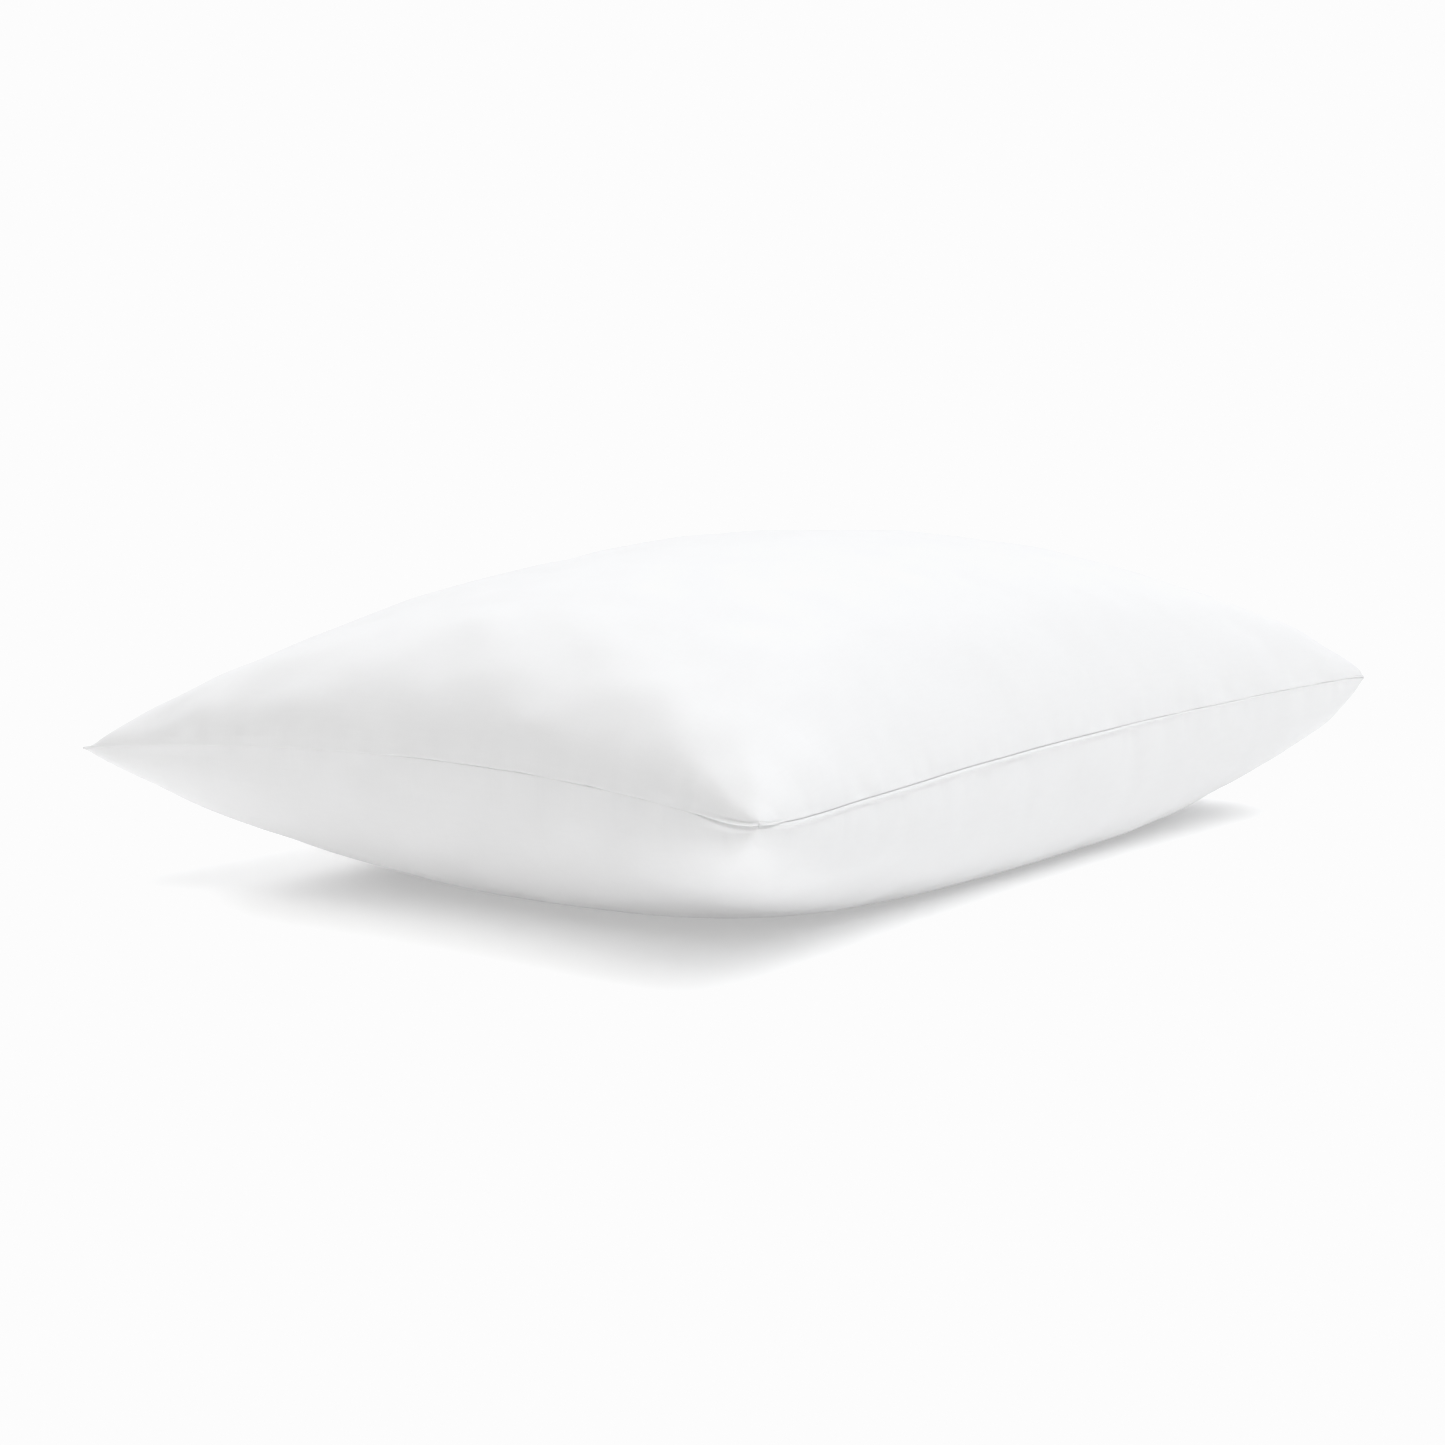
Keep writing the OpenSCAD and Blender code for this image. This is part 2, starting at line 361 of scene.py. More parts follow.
def noise_field(first, second, third, seed):
    """Smooth noise between about -1 and 1 at each point of three grids of coordinates."""
    values = [noise.noise(Vector((a, b, c + seed)))
              for a, b, c in zip(first.ravel(), second.ravel(), third.ravel())]
    return np.array(values).reshape(first.shape)


def fall(distance, start, end):
    """1 up to start, 0 from end on, and a smooth fall between them."""
    t = np.clip((end - distance) / (end - start), 0, 1)
    return t * t * (3 - 2 * t)


def grow(distance, start, end):
    """0 up to start, 1 from end on, and smooth growth between them."""
    return fall(-distance, -end, -start)


def corner_lap(x, y):
    """How much the upper panel laps over the lower one by the corner at -X -Y."""
    return fall(y + HALF_WIDTH, *LAP_ALONG_END) * fall(x + HALF_LENGTH, *LAP_ALONG_SIDE)


def unevenness(grid, side):
    """How far the cloth stands out: soft lumps of filling, puckers at the seam's
    stitches and drawn folds that fan out from the corners."""
    x, y, z = grid[..., 0], grid[..., 1], grid[..., 2]
    to_end, to_side = run_from_edge(grid, 0), run_from_edge(grid, 1)
    to_seam = np.minimum(to_end, to_side)
    flat = np.zeros_like(x)
    lumps = np.zeros_like(x)
    for height, size, seed in ((COARSE_LUMP, COARSE_LUMP_SIZE, 3.1 * side),
                               (FINE_LUMP, FINE_LUMP_SIZE, 9.7 * side)):
        lumps += height * noise_field(x / size[0], y / size[1], z / size[2], seed)
    lumps *= 1 - fall(to_seam, *LUMP_FADE)
    puckers = np.zeros_like(x)
    for along, across in ((x, to_side), (y, to_end)):
        fine = noise_field(along / FINE_PUCKER_SIZE[0], across / FINE_PUCKER_SIZE[1],
                           flat, 5.5 * side)
        broad = noise_field(along / BROAD_PUCKER_SIZE[0], across / BROAD_PUCKER_SIZE[1],
                            flat, 8.2 * side)
        puckers += FINE_PUCKER * fine * np.abs(fine) * fall(across, *FINE_PUCKER_FADE)
        puckers += BROAD_PUCKER * broad * fall(across, *BROAD_PUCKER_FADE)
    puckers *= grow(to_seam, 0, PUCKER_START)
    drawn = np.zeros_like(x)
    for corner_x, corner_y in CORNERS:
        away_x = HALF_LENGTH - x * corner_x
        away_y = HALF_WIDTH - y * corner_y
        radius = np.hypot(away_x, away_y)
        angle = np.arctan2(away_y, away_x)
        fan = noise_field(angle * DRAWN_FOLDS_PER_RADIAN, radius / DRAWN_FOLD_LENGTH,
                          flat, 2.3 * side + corner_x + 3 * corner_y)
        reach = fall(radius, *DRAWN_FOLD_FADE) * grow(radius, *DRAWN_FOLD_START)
        drawn += DRAWN_FOLD * fan * reach
    return lumps + puckers + drawn


def lapped(grid, u, v, side):
    """The cloth moved where the upper panel laps over the lower one by a corner."""
    to_seam = np.minimum(run_from_edge(grid, 0), run_from_edge(grid, 1))
    share = corner_lap(grid[..., 0], grid[..., 1]) * MM
    far_out, *out_fade = LAP_OUT[side]
    far_down, *down_fade = LAP_DOWN[side]
    out = far_out * fall(to_seam, *out_fade)
    down = far_down * fall(to_seam, *down_fade)
    return grid + np.stack([u * out, v * out, -down], axis=-1) * share[..., None]


def make_casing():
    """Grids of the finished points of the upper and lower panel, the points of the seam
    between them, and the grids' u and v."""
    u, v = np.meshgrid(even_shares(HALF_LENGTH - END_PULL_IN, CELLS_ALONG),
                       even_shares(HALF_WIDTH - SIDE_PULL_IN, CELLS_ACROSS), indexing="ij")
    points, faces, top_index, bottom_index = casing_shell(u, v)
    top, bottom = points[top_index], points[bottom_index]
    seam_share = np.zeros(len(points))
    seam_share[top_index[seam_indices(*u.shape)]] = 1
    pinned = (points[:, 2] < HELD_BELOW).astype(float)
    shift = simulate(points, faces, seam_share, pinned)
    top_folds, bottom_folds = folds_only(shift[top_index], shift[bottom_index])
    top = top + top_folds
    bottom = bottom + bottom_folds * grow(bottom[..., 2:], *BELLY_RELIEF_START)
    top, bottom = refined(top), refined(bottom)
    fine_u, fine_v = np.moveaxis(refined(np.stack([u, v], axis=-1)), -1, 0)
    top += normals(top) * unevenness(top, 1)[..., None]
    lift = grow(bottom[..., 2], *BELLY_RELIEF_START)
    bottom -= normals(bottom) * (unevenness(bottom, -1) * lift)[..., None]
    bottom[..., 2] = np.maximum(bottom[..., 2], 0)
    seam_line = top[seam_indices(*fine_u.shape)]
    top = lapped(top, fine_u, fine_v, 1)
    bottom = lapped(bottom, fine_u, fine_v, -1)
    return top, bottom, seam_line, fine_u, fine_v


TOP, BOTTOM, SEAM_LINE, U, V = make_casing()
ROWS, COLUMNS = U.shape
SEAM = seam_indices(ROWS, COLUMNS)
SEAM_U, SEAM_V = U[SEAM], V[SEAM]
OUTWARD = np.stack([SEAM_U, SEAM_V, np.zeros(len(SEAM_U))], axis=-1)
UP = np.array([0, 0, 1])

# --- Casing: the two sewn panels ----------------------------------------------------

# Rows of points over the seam's rolled edge and back along the turned-in allowance,
# as (outwards, away from the other panel) from the middle of the seam, in mm
ALLOWANCE = [(-2.4, 0.12), (-10.0, 0.22)]
# A plain seam, which shows as a shallow furrow
PLAIN_UPPER = [(0.15, 1.7), (0.2, 1.1), (0.05, 0.55), (-0.35, 0.25), (-1.2, 0.13)]
PLAIN_LOWER = [(0.0, 1.7), (-0.1, 1.15), (-0.45, 0.7), (-0.8, 0.45), (-1.3, 0.22)]
# Where the seam is shut, the upper edge comes down over it, flush with the lower one
SHUT_UPPER = [(0.3, 0.9), (0.4, 0.4), (0.38, -0.1), (0.3, -0.5), (-0.8, -0.2)]
SHUT_LOWER = [(0.28, 0.9), (0.25, 0.5), (0.1, 0.2), (-0.3, 0.1), (-1.0, 0.1)]
# The closing seam's pressed lip
CLOSING = [(0.0, 1.5), (0.9, 0.95), (3.4, 0.8), (4.0, 0.5), (3.5, 0.16)]
# Along the sides the allowance is pressed downwards, and it lifts the lower panel's
# edge into a fine bead under the upper panel's edge
BEAD_UPPER = [(0.1, 1.4), (0.2, 0.9), (0.1, 0.5), (-0.3, 0.25), (-1.0, 0.14)]
BEAD_LOWER = [(0.3, 3.0), (1.3, 2.3), (1.7, 1.3), (1.3, 0.35), (0.2, -0.02)]
# By the corner at -X -Y the upper panel's edge laps over the lower one's
LAP_UPPER = [(1.6, 1.5), (1.8, 0.5), (1.5, -0.5), (0.5, -1.1), (-1.5, -0.6)]
LAP_LOWER = [(-1.6, 4.2), (-2.0, 3.2), (-2.6, 2.3), (-3.1, 1.5), (-3.2, 0.8)]
# From this u or v on, a point of the seam lies on that edge of the casing
ON_EDGE = 0.9999
# Share of half an end's width over which the closing lip grows from each corner
LIP_GROWTH = 0.12
# The bead: distances from a corner between which it grows, the share of it that stays
# towards +X, and the x between which the rest of it goes
BEAD_GROWTH = (8 * MM, 30 * MM)
BEAD_LEAST = 0.3
BEAD_FADE = (0 * MM, 160 * MM)
# The shut part of the seam: its usual share, how much and over what length that share
# wanders, what is added towards +Y, and the y between which that is added
SHUT_SHARE = 0.6
SHUT_WANDER = 0.5
SHUT_PATCH = 21 * MM
SHUT_ADDED = 0.9
SHUT_RISE = (-10 * MM, 150 * MM)


def edge_outlines(side):
    """Each outline of the seam's edge, with how much of it each point of the seam has."""
    upper = side > 0
    at_end = (1 - np.abs(SEAM_V)) / LIP_GROWTH
    at_side = (1 - np.abs(SEAM_U)) * HALF_LENGTH
    along_x, along_y = SEAM_LINE[:, 0], SEAM_LINE[:, 1]
    lap = corner_lap(along_x, along_y)
    closing = np.where(SEAM_U > ON_EDGE, np.clip(at_end, 0, 1), 0)
    beaded = np.where(np.abs(SEAM_V) > ON_EDGE, 1 - fall(at_side, *BEAD_GROWTH), 0)
    beaded *= (BEAD_LEAST + (1 - BEAD_LEAST) * fall(along_x, *BEAD_FADE)) * (1 - lap)
    patches = noise_field(along_x / SHUT_PATCH, along_y / SHUT_PATCH, along_x * 0, 4.4)
    shut = SHUT_WANDER * patches + SHUT_SHARE
    shut = np.clip(shut + SHUT_ADDED * grow(along_y, *SHUT_RISE), 0, 1)
    shut *= (1 - lap) * (1 - closing) * (1 - beaded)
    plain = 1 - lap - closing - beaded - shut
    return ((PLAIN_UPPER if upper else PLAIN_LOWER, plain),
            (SHUT_UPPER if upper else SHUT_LOWER, shut),
            (BEAD_UPPER if upper else BEAD_LOWER, beaded),
            (LAP_UPPER if upper else LAP_LOWER, lap), (CLOSING, closing))


def edge_rows(side):
    """Rows of points round the seam's edge, with the outlines mixed by their shares."""
    mixed = sum(np.array(outline + ALLOWANCE)[:, None] * share[None, :, None]
                for outline, share in edge_outlines(side))
    return [SEAM_LINE + (OUTWARD * row[:, :1] + UP * row[:, 1:] * side) * MM for row in mixed]


def make_panel(name, grid, side):
    """One panel with its rolled edge and allowance, as cloth of the real thickness."""
    points = grid.copy()
    rows = edge_rows(side)
    points[SEAM] = rows[0]
    index = np.arange(ROWS * COLUMNS).reshape(ROWS, COLUMNS)
    faces = grid_faces(index, side > 0)
    flat = np.stack([U * HALF_LENGTH, V * HALF_WIDTH, U * 0], axis=-1)
    stack, flats = [points.reshape(-1, 3)], [flat.reshape(-1, 3)]
    last = index[SEAM].tolist()
    start = ROWS * COLUMNS
    run = 0
    for before, row in zip(rows, rows[1:]):
        run = run + np.linalg.norm(row - before, axis=1, keepdims=True)
        stack.append(row)
        flats.append(flat[SEAM] + OUTWARD * run)
        ring = list(range(start, start + len(row)))
        faces += ring_faces(last, ring) if side > 0 else ring_faces(ring, last)
        last = ring
        start += len(row)
    panel = make_object(name, np.concatenate(stack), faces)
    set_attribute(panel, "weave", np.concatenate(flats))
    thicken = panel.modifiers.new("Thicken", "SOLIDIFY")
    thicken.thickness = CLOTH_THICKNESS
    thicken.offset = -1
    return apply_modifiers(panel)


ticking_top = make_panel("ticking_top", TOP, 1)
ticking_bottom = make_panel("ticking_bottom", BOTTOM, -1)


# --- Filling: carded plies ----------------------------------------------------------


def ripple(points, seed, size=45 * MM, height=1.2 * MM):
    """Soft unevenness between two plies, the same for both of them."""
    return np.array([height * noise.noise(Vector((x / size, y / size, seed * 7.3)))
                     for x, y, z in points])


def make_ply(number, low, high):
    """A closed pad between two grids of points, with a soft bulging edge."""
    rows, columns = low.shape[:2]
    index = np.arange(rows * columns).reshape(rows, columns)
    faces = grid_faces(index + rows * columns, True) + grid_faces(index, False)
    rim = np.concatenate([index[:-1, 0], index[-1, :-1], index[:0:-1, -1], index[0, :0:-1]])
    low_rim, high_rim = low.reshape(-1, 3)[rim], high.reshape(-1, 3)[rim]
    centre = low.reshape(-1, 3).mean(axis=0)
    outward = (low_rim - centre) * np.array([1, 1, 0])
    outward /= np.linalg.norm(outward, axis=1, keepdims=True)
    middle = (low_rim + high_rim) / 2 + outward * PLY_BULGE
    start = 2 * rows * columns
    ring = list(range(start, start + len(rim)))
    faces += ring_faces((rim + rows * columns).tolist(), ring) + ring_faces(ring, rim.tolist())
    points = np.concatenate([low.reshape(-1, 3), high.reshape(-1, 3), middle])
    return make_object(f"fibre_ply_{number}", points, faces)


def make_plies():
    """Plies that fill the casing, clear of the ticking and of the seam allowance."""
    # Rows of the casing's grid left free at its edge, and rows to one row of a ply
    clear, step = 8, 4
    top = TOP[clear:-clear:step, clear:-clear:step]
    bottom = BOTTOM[clear:-clear:step, clear:-clear:step]
    clearance = np.array([0, 0, PLY_CLEARANCE])
    low_face = bottom * np.array(PLY_SHRINK) + clearance
    high_face = top * np.array(PLY_SHRINK) - clearance
    levels = []
    for k in range(PLY_COUNT + 1):
        level = low_face + (high_face - low_face) * k / PLY_COUNT
        if 0 < k < PLY_COUNT:
            level[..., 2] += ripple(level.reshape(-1, 3), k).reshape(level.shape[:2])
        levels.append(level)
    half = np.array([0, 0, PLY_GAP / 2])
    return [make_ply(k + 1, levels[k] + half, levels[k + 1] - half) for k in range(PLY_COUNT)]


plies = make_plies()

# --- Sewing thread ------------------------------------------------------------------


def seam_path(start, end, count, out):
    """Points beside the seam between two corners, out from it in plan, and its direction."""
    piece = np.arange(start, end + 1) % len(SEAM_LINE)
    line, outward = SEAM_LINE[piece] + OUTWARD[piece] * out, OUTWARD[piece]
    steps = np.linalg.norm(np.diff(line, axis=0), axis=1)
    length = np.concatenate([[0], np.cumsum(steps)])
    places = np.linspace(0, length[-1], count)
    path = np.stack([np.interp(places, length, line[:, axis]) for axis in range(3)], axis=-1)
    inward = -np.stack([np.interp(places, length, outward[:, axis]) for axis in range(3)], axis=-1)
    return path, inward


def tube(path, radius, sides, points, faces):
    """Adds a round thread along a path of points to the lists points and faces."""
    path = np.asarray(path)
    ahead = np.gradient(path, axis=0)
    ahead /= np.linalg.norm(ahead, axis=1, keepdims=True)
    helper = np.array([0.12, 0.31, 0.94])
    side = np.cross(ahead, helper)
    side /= np.linalg.norm(side, axis=1, keepdims=True)
    rise = np.cross(side, ahead)
    start = len(points)
    for k in range(len(path)):
        for n in range(sides):
            turn = 2 * math.pi * n / sides
            points.append(path[k] + radius * (side[k] * math.cos(turn) + rise[k] * math.sin(turn)))
    for k in range(len(path) - 1):
        for n in range(sides):
            a, b = start + k * sides + n, start + k * sides + (n + 1) % sides
            faces.append([a, a + sides, b + sides, b])
    faces.append([start + n for n in range(sides)])
    faces.append([start + (len(path) - 1) * sides + n for n in reversed(range(sides))])


# First and last point of the seam along each edge of the casing
EDGES = {
    "near_side": (0, ROWS - 1),
    "closed_end": (ROWS - 1, ROWS + COLUMNS - 2),
    "far_side": (ROWS + COLUMNS - 2, 2 * ROWS + COLUMNS - 3),
    "near_end": (2 * ROWS + COLUMNS - 3, len(SEAM_LINE)),
}
# Once round the raw edges, as (inset from the seam in mm, share of the loop's height)
OVEREDGE_LOOP = ((6.2, 0), (6.4, 1), (8.5, 1.15), (10.5, 0.8),
                 (10.7, 0), (10.5, -0.8), (8.5, -1.15), (6.4, -1))


def seam_length(start, end):
    """Length of the seam between two of its points."""
    return np.linalg.norm(np.diff(SEAM_LINE[start:end], axis=0), axis=1).sum()


def make_overedge(edge):
    """Looped thread that binds the two raw edges of one seam allowance together."""
    pitch, radius, height = 3.6 * MM, 0.16 * MM, 0.9 * MM
    bare_run = 30 * MM
    thread_sides = 5
    turn = len(OVEREDGE_LOOP)
    cut = turn // 2
    start, end = EDGES[edge]
    loops = int((seam_length(start, end) - bare_run) / pitch)
    path, inward = seam_path(start, end, loops * turn + 2 * cut + 1, 0)
    path, inward = path[cut:-cut], inward[cut:-cut]
    thread = []
    for k in range(len(path)):
        inset, share = OVEREDGE_LOOP[k % turn]
        thread.append(path[k] + inward[k] * inset * MM + np.array([0, 0, share * height]))
    points, faces = [], []
    tube(thread, radius, thread_sides, points, faces)
    return make_object(f"overedge_thread_{edge}", points, faces)


def make_closing_stitches(name, side):
    """Topstitching along the closed end's lip: short arched bars of two-ply thread."""
    pitch, length, strand = 4.0 * MM, 2.9 * MM, 0.14 * MM
    bare_run = 60 * MM
    path_points, bar_points, thread_sides = 400, 13, 6
    out = CLOSING_LIP - 2 * MM
    # Height of the bars' middles above the lip, and how far their ends dip into it
    stand, dip = 0.16 * MM, 0.45 * MM
    # Half turns of the two plies round each other along one half of a bar
    twist = 2.4
    start, end = EDGES["closed_end"]
    count = int((seam_length(start, end) - bare_run) / pitch)
    path, _ = seam_path(start, end, path_points, out)
    steps = np.linalg.norm(np.diff(path, axis=0), axis=1)
    along = np.concatenate([[0], np.cumsum(steps)])
    points, faces = [], []
    for k in range(count):
        middle = along[-1] / 2 + (k - (count - 1) / 2) * pitch
        for ply in range(2):
            bar = []
            for t in np.linspace(-1, 1, bar_points):
                place = middle + t * length / 2
                on_seam = np.array([np.interp(place, along, path[:, axis]) for axis in range(3)])
                turn = twist * math.pi * t + math.pi * ply
                lift = SEAM_HALF + stand - dip * t ** 6
                bar.append(on_seam + np.array([math.cos(turn) * strand, 0,
                                               side * (lift + math.sin(turn) * strand * 0.8)]))
            tube(bar, strand * 1.1, thread_sides, points, faces)
    return make_object(name, points, faces)


overedges = {edge: make_overedge(edge) for edge in ("near_side", "far_side", "near_end")}
stitches_top = make_closing_stitches("closing_thread_top", 1)
stitches_bottom = make_closing_stitches("closing_thread_bottom", -1)

# --- Care label ---------------------------------------------------------------------


def make_label():
    """Blank satin tape: caught between the panels, then bent down to hang free."""
    tab_low, tab_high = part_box("care_label_tab")
    leaf_low, leaf_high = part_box("care_label")
    thickness = leaf_high.x - leaf_low.x
    fold_x = (leaf_low.x + leaf_high.x) / 2
    fold_z = (tab_low.z + tab_high.z) / 2
    bend, curl_depth, wave_depth = 2.2 * MM, 1.6 * MM, 0.5 * MM
    # Points of the tape's profile in the seam, round the bend and down the free end, and
    # points across its width
    tab_points, bend_points, leaf_points, width_points = 8, 8, 26, 19
    width = tab_high.y - tab_low.y
    profile = [(x, fold_z) for x in np.linspace(tab_low.x, fold_x - bend, tab_points)]
    profile += [(fold_x - bend + bend * math.sin(a), fold_z - bend + bend * math.cos(a))
                for a in np.linspace(0, math.pi / 2, bend_points)[1:]]
    profile += [(fold_x, z)
                for z in np.linspace(fold_z - bend, leaf_low.z, leaf_points)[1:]]
    across = np.linspace(-width / 2, width / 2, width_points)
    points = []
    for x, z in profile:
        drop = max(0, (fold_z - bend - z) / (fold_z - leaf_low.z))
        for y in across:
            curl = curl_depth * drop ** 1.5 * math.cos(math.pi * y / width)
            wave = wave_depth * drop * math.sin(2.2 * math.pi * y / width + 4 * drop)
            points.append((x + curl + wave, y, z))
    rows, columns = len(profile), len(across)
    index = np.arange(rows * columns).reshape(rows, columns)
    label = make_object("care_label_tape", points, grid_faces(index, True))
    row_pitch = 2 * MM
    set_attribute(label, "weave",
                  [(point[1], k // columns * row_pitch, 0) for k, point in enumerate(points)])
    subdivide = label.modifiers.new("Subdivide", "SUBSURF")
    subdivide.levels = subdivide.render_levels = 1
    thicken = label.modifiers.new("Thicken", "SOLIDIFY")
    thicken.thickness = thickness
    thicken.offset = 0
    apply_modifiers(label)
    for polygon in label.data.polygons:
        polygon.use_smooth = True
    return label, Vector((fold_x, 0, fold_z))


care_label, FOLD = make_label()

# --- Materials ----------------------------------------------------------------------


def new_material(name, colour, roughness, sheen=0.0):
    """A plain finish of this colour, for a material's nodes to be added to."""
    material = bpy.data.materials.new(name)
    material.use_nodes = True
    nodes = material.node_tree.nodes
    shader = nodes["Principled BSDF"]
    shader.inputs["Base Color"].default_value = (*colour, 1)
    shader.inputs["Roughness"].default_value = roughness
    shader.inputs["Sheen Weight"].default_value = sheen
    shader.inputs["Sheen Roughness"].default_value = 0.5
    shader.inputs["Specular IOR Level"].default_value = 0.25
    return material, nodes, material.node_tree.links, shader


def math_node(nodes, links, operation, first, second=None):
    """A maths node's output. Each input is a number or another node's output."""
    node = nodes.new("ShaderNodeMath")
    node.operation = operation
    for socket, value in zip(node.inputs, (first, second)):
        if value is None:
            continue
        if isinstance(value, (int, float)):
            socket.default_value = value
        else:
            links.new(value, socket)
    return node.outputs[0]


def woven(name, colour, pitch, depth, mottle, sheen):
    """Plain-woven cloth: crossing threads, uneven yarn and a faint mottling."""
    slub_scale, slub_stretch, cloud_scale = 40, 14, 22
    # Shares of the mottling and of the bump that the uneven yarn has
    yarn_mottle, yarn_bump = 0.8, 0.6
    material, nodes, links, shader = new_material(name, colour, 0.85, sheen)
    weave = nodes.new("ShaderNodeAttribute")
    weave.attribute_name = "weave"
    split = nodes.new("ShaderNodeSeparateXYZ")
    links.new(weave.outputs["Vector"], split.inputs[0])
    waves = []
    for axis in ("X", "Y"):
        turn = math_node(nodes, links, "MULTIPLY", split.outputs[axis], math.pi / pitch)
        waves.append(math_node(nodes, links, "SINE", turn))
    checker = math_node(nodes, links, "MULTIPLY", waves[0], waves[1])
    threads = math_node(nodes, links, "ABSOLUTE", checker)
    slubs = []
    for stretch in ((1, slub_stretch, 1), (slub_stretch, 1, 1)):
        mapping = nodes.new("ShaderNodeMapping")
        mapping.inputs["Scale"].default_value = tuple(slub_scale * s for s in stretch)
        links.new(weave.outputs["Vector"], mapping.inputs["Vector"])
        yarn = nodes.new("ShaderNodeTexNoise")
        yarn.inputs["Scale"].default_value = 1.6
        yarn.inputs["Detail"].default_value = 3
        links.new(mapping.outputs[0], yarn.inputs["Vector"])
        slubs.append(yarn.outputs["Fac"])
    uneven = math_node(nodes, links, "ADD", slubs[0], slubs[1])
    cloud = nodes.new("ShaderNodeTexNoise")
    cloud.inputs["Scale"].default_value = cloud_scale
    cloud.inputs["Detail"].default_value = 4
    links.new(weave.outputs["Vector"], cloud.inputs["Vector"])
    tone = math_node(nodes, links, "MULTIPLY_ADD", cloud.outputs["Fac"], mottle)
    tone.node.inputs[2].default_value = 1 - mottle / 2
    yarn_tone = math_node(nodes, links, "MULTIPLY_ADD", uneven, mottle * yarn_mottle)
    yarn_tone.node.inputs[2].default_value = 1 - mottle * yarn_mottle
    both = math_node(nodes, links, "MULTIPLY", tone, yarn_tone)
    tint = nodes.new("ShaderNodeVectorMath")
    tint.operation = "SCALE"
    tint.inputs[0].default_value = colour
    links.new(both, tint.inputs["Scale"])
    links.new(tint.outputs[0], shader.inputs["Base Color"])
    height = math_node(nodes, links, "MULTIPLY_ADD", uneven, yarn_bump)
    links.new(threads, height.node.inputs[2])
    bump = nodes.new("ShaderNodeBump")
    bump.inputs["Strength"].default_value = 0.5
    bump.inputs["Distance"].default_value = depth
    links.new(height, bump.inputs["Height"])
    links.new(bump.outputs[0], shader.inputs["Normal"])
    return material


def fibrous(name, colour, scale, depth, roughness=0.9):
    """Carded or spun fibre: fine crimped strands in noise that is stretched one way."""
    stretch, shade = 6, 0.86
    material, nodes, links, shader = new_material(name, colour, roughness, 0.3)
    place = nodes.new("ShaderNodeTexCoord")
    mapping = nodes.new("ShaderNodeMapping")
    mapping.inputs["Scale"].default_value = (scale, scale * stretch, scale * stretch)
    links.new(place.outputs["Object"], mapping.inputs["Vector"])
    strands = nodes.new("ShaderNodeTexNoise")
    strands.inputs["Scale"].default_value = 1
    strands.inputs["Detail"].default_value = 6
    strands.inputs["Distortion"].default_value = 1.4
    links.new(mapping.outputs[0], strands.inputs["Vector"])
    ramp = nodes.new("ShaderNodeValToRGB")
    ramp.color_ramp.elements[0].position = 0.3
    ramp.color_ramp.elements[0].color = (*(c * shade for c in colour), 1)
    ramp.color_ramp.elements[1].position = 0.7
    ramp.color_ramp.elements[1].color = (*colour, 1)
    links.new(strands.outputs["Fac"], ramp.inputs["Fac"])
    links.new(ramp.outputs["Color"], shader.inputs["Base Color"])
    bump = nodes.new("ShaderNodeBump")
    bump.inputs["Strength"].default_value = 0.6
    bump.inputs["Distance"].default_value = depth
    links.new(strands.outputs["Fac"], bump.inputs["Height"])
    links.new(bump.outputs[0], shader.inputs["Normal"])
    return material


ticking_material = woven("white_ticking", (0.88, 0.88, 0.885), pitch=0.45 * MM,
                         depth=0.06 * MM, mottle=0.03, sheen=0.12)
tape_material = woven("satin_tape", (0.9, 0.9, 0.9), pitch=0.25 * MM,
                      depth=0.03 * MM, mottle=0.03, sheen=0.3)
fibre_material = fibrous("carded_fibre", (0.93, 0.93, 0.92), scale=90, depth=0.5 * MM)
thread_material = fibrous("spun_thread", (0.88, 0.88, 0.87), scale=900, depth=0.05 * MM,
                          roughness=0.7)


def dress(obj, material, slot, body, *nodes):
    """Gives a piece its finish and its body, and hides the CAD nodes that it stands for."""
    obj.data.materials.clear()
    obj.data.materials.append(material)
    if body:
        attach(obj, body)
    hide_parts(*nodes)


dress(ticking_top, ticking_material, "ticking", "pillow", "top_panel")
dress(ticking_bottom, ticking_material, "ticking", "pillow", "bottom_panel")
for number, ply in enumerate(plies, start=1):
    dress(ply, fibre_material, "fibre_fill", "pillow", f"fill_ply_{number}")
for edge, thread in overedges.items():
    dress(thread, thread_material, "thread", "pillow", f"overedge_{edge}")
dress(stitches_top, thread_material, "thread", "pillow", "closing_stitches_top")
dress(stitches_bottom, thread_material, "thread", "pillow", "closing_stitches_bottom")
dress(care_label, tape_material, "label_tape", None, "care_label_tab", "care_label")
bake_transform(care_label)

# --- Camera, floor and light --------------------------------------------------------

# The camera as fitted to the photo: where it aims, and how it lies from there
CAMERA_AIM = Vector((-32.3, 23.7, 84.4)) * MM
CAMERA_AZIMUTH = -54.21
CAMERA_ELEVATION = 8.94
CAMERA_DISTANCE = 2.272
LENS_MM = 85
SENSOR_MM = 36
FLOOR_HALF = 12.0
FLOOR_GLOW = 0.195
AMBIENT_GLOW = 0.02
BACKDROP_GLOW = 1.1
PAPER_WHITE = 0.974
# Name, azimuth and elevation in degrees, strength, width in degrees and colour
SUNS = (
    ("overhead_softbox", 0, 90, 1.79, 120, (0.99, 0.993, 1)),
    ("right_softbox", 60, 60, 0.77, 40, (0.945, 0.97, 1)),
    ("right_fill", 30, 35, 0.2, 35, (0.9, 0.95, 1)),
    ("back_softbox", 150, 35, 0.9, 35, (1, 1, 1)),
    ("front_softbox", 345, 60, 0.68, 40, (1, 0.99, 0.97)),
    ("left_fill", 300, 8, 0.28, 30, (1, 0.96, 0.86)),
)


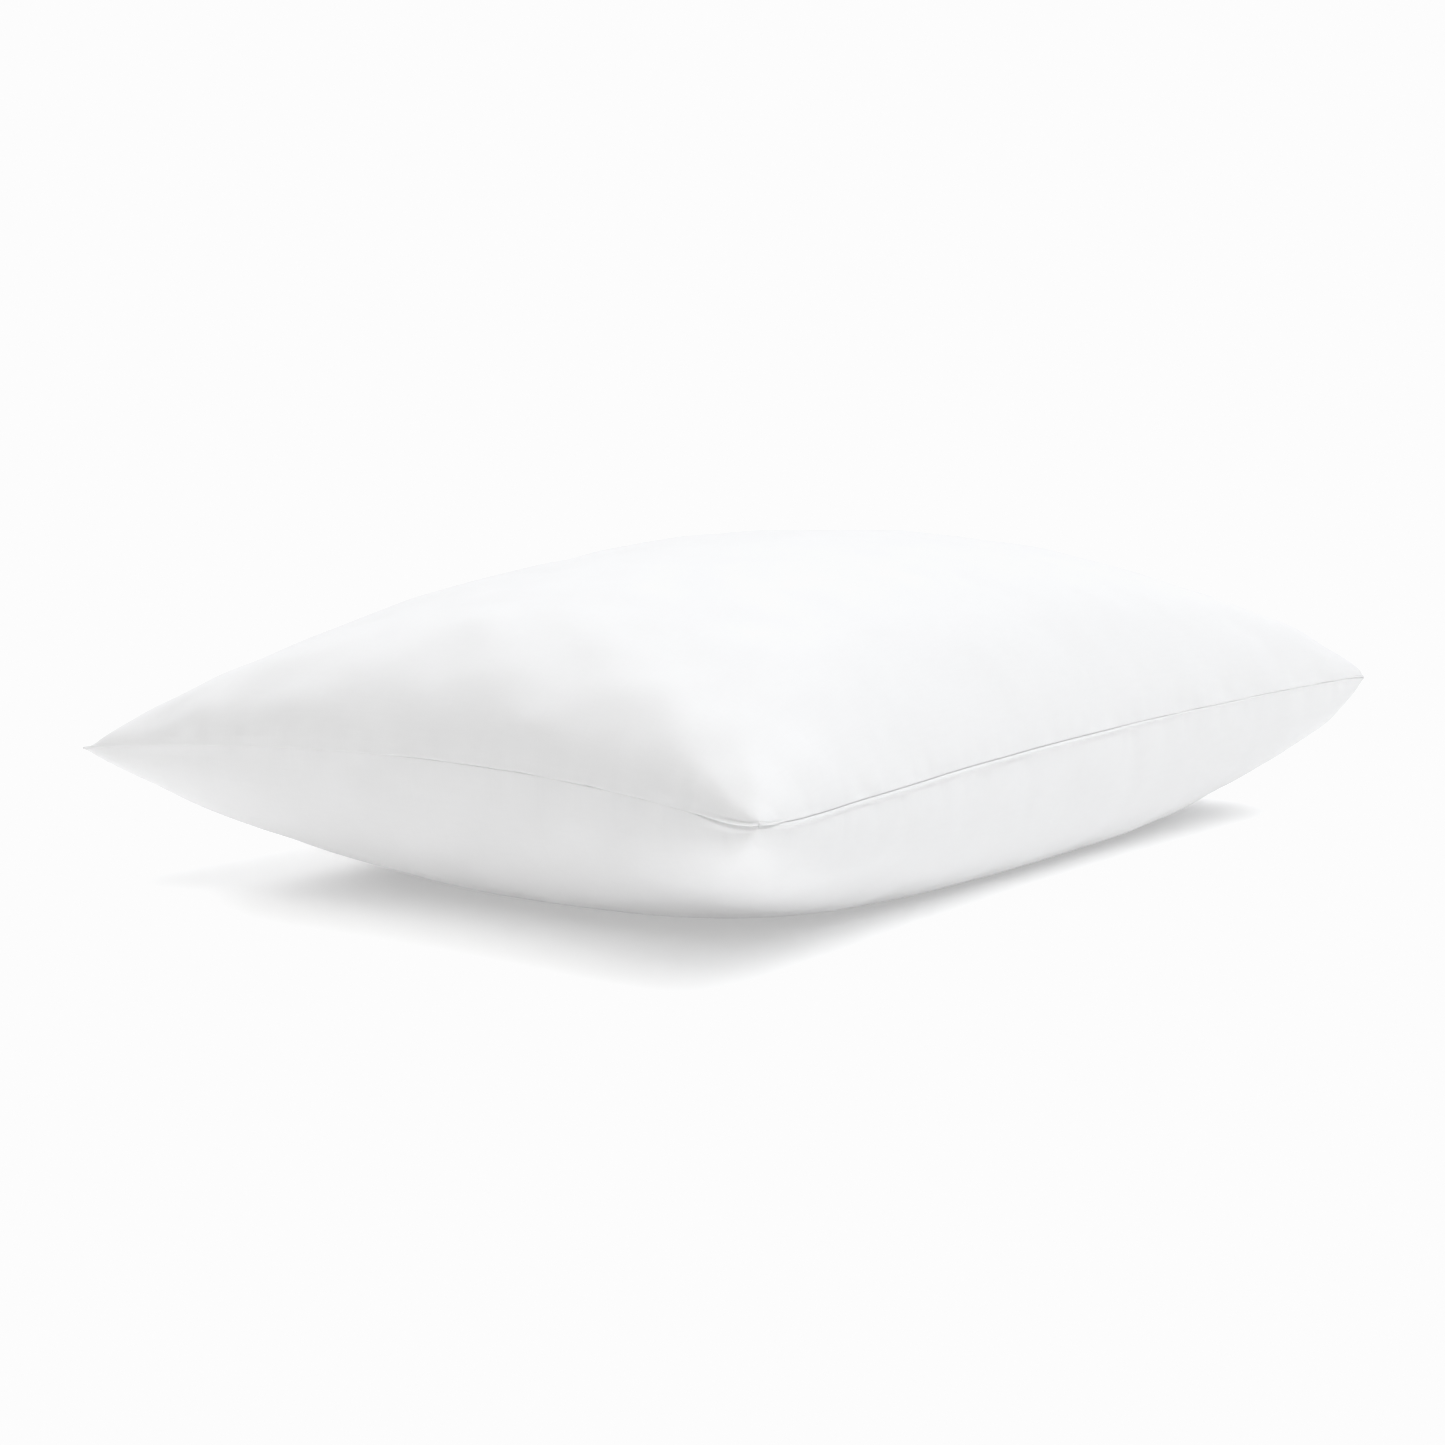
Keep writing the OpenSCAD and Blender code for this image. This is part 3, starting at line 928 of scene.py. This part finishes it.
def direction(azimuth, elevation):
    """Unit vector towards a viewer at this azimuth and elevation, in degrees."""
    a, e = math.radians(azimuth), math.radians(elevation)
    return Vector((math.sin(a) * math.cos(e), -math.cos(a) * math.cos(e), math.sin(e)))


def make_camera():
    data = bpy.data.cameras.new("camera")
    data.sensor_width = SENSOR_MM
    data.lens = LENS_MM
    camera = bpy.data.objects.new("camera", data)
    bpy.context.scene.collection.objects.link(camera)
    back = direction(CAMERA_AZIMUTH, CAMERA_ELEVATION)
    camera.location = CAMERA_AIM + back * CAMERA_DISTANCE
    camera.rotation_euler = back.to_track_quat("Z", "Y").to_euler()
    bpy.context.scene.camera = camera


def make_floor():
    corners = [(x * FLOOR_HALF, y * FLOOR_HALF, 0) for x, y in CORNERS]
    floor = make_object("studio_floor", corners, [(0, 1, 2, 3)], smooth=False)
    material, _, _, shader = new_material("studio_floor", (0.9, 0.9, 0.9), 0.9)
    shader.inputs["Emission Color"].default_value = (1, 1, 1, 1)
    shader.inputs["Emission Strength"].default_value = FLOOR_GLOW
    floor.data.materials.append(material)


def make_sun(name, azimuth, elevation, strength, angle, colour):
    data = bpy.data.lights.new(name, "SUN")
    data.energy = strength
    data.angle = math.radians(angle)
    data.color = colour
    sun = bpy.data.objects.new(name, data)
    sun.rotation_euler = direction(azimuth, elevation).to_track_quat("Z", "Y").to_euler()
    bpy.context.scene.collection.objects.link(sun)


def make_world():
    """White behind the object, and a dimmer even glow as ambient light."""
    world = bpy.data.worlds.new("studio")
    world.use_nodes = True
    nodes, links = world.node_tree.nodes, world.node_tree.links
    nodes.clear()
    output = nodes.new("ShaderNodeOutputWorld")
    mix = nodes.new("ShaderNodeMixShader")
    path = nodes.new("ShaderNodeLightPath")
    glow, backdrop = nodes.new("ShaderNodeBackground"), nodes.new("ShaderNodeBackground")
    glow.inputs["Strength"].default_value = AMBIENT_GLOW
    backdrop.inputs["Color"].default_value = (1, 1, 1, 1)
    backdrop.inputs["Strength"].default_value = BACKDROP_GLOW
    links.new(path.outputs["Is Camera Ray"], mix.inputs["Fac"])
    links.new(glow.outputs[0], mix.inputs[1])
    links.new(backdrop.outputs[0], mix.inputs[2])
    links.new(mix.outputs[0], output.inputs["Surface"])
    bpy.context.scene.world = world


def set_tones():
    """Plain tones, with paper white a little below full white."""
    view = bpy.context.scene.view_settings
    view.view_transform = "Standard"
    view.use_curve_mapping = True
    view.curve_mapping.extend = "HORIZONTAL"
    view.curve_mapping.curves[3].points[1].location = (1, PAPER_WHITE)
    view.curve_mapping.update()


make_camera()
make_floor()
make_world()
for sun in SUNS:
    make_sun(*sun)
set_tones()
